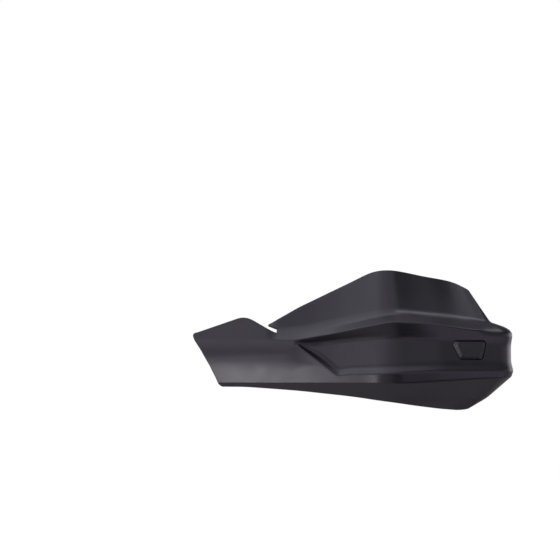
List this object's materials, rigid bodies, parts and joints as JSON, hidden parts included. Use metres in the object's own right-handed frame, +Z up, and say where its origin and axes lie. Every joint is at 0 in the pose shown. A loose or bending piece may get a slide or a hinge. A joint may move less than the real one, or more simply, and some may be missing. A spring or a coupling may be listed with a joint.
{
  "type": "motorcycle hand guard",
  "caption": "Wrap-around left hand guard: angular moulded shell with a split tail on a bent flat-bar backbone, bar clamp and bar-end expander.",
  "frame": {"origin": "centre of the handlebar's open end face, where the bar-end spacer sits", "axes": "+X outboard along the handlebar's axis, +Y back to the rider, +Z up; the guard's front face looks along -Y"},
  "size_m": [0.3019, 0.1184, 0.1322],
  "materials": {
    "shell_plastic": "fine-grained matt black moulding",
    "black_alloy": "satin black powder coat over aluminium",
    "bare_alloy": "turned",
    "black_steel": "black oxide",
    "zinc_steel": "zinc plated",
    "brass": "machined",
    "rubber": "matt"
  },
  "bodies": {
    "root": {"guard_shell": "shell_plastic", "window_plug": "shell_plastic", "plug_screw": "black_steel", "plug_screw_washer": "black_steel", "thread_inserts": "brass", "rubber_pads": "rubber", "shell_screws": "black_steel", "shell_screw_washers": "zinc_steel", "backbone": "black_alloy", "bar_end_spacer": "black_alloy", "bar_end_washer": "zinc_steel", "bar_end_bolt": "black_steel", "expander_sleeve": "zinc_steel", "expander_cone": "zinc_steel", "bar_clamp_saddle": "black_alloy", "bar_clamp_cap": "black_alloy", "clamp_screws": "black_steel", "link_spacer": "bare_alloy", "link_bolt": "zinc_steel", "link_washer": "zinc_steel", "link_nut": "zinc_steel"}
  },
  "joints": []
}
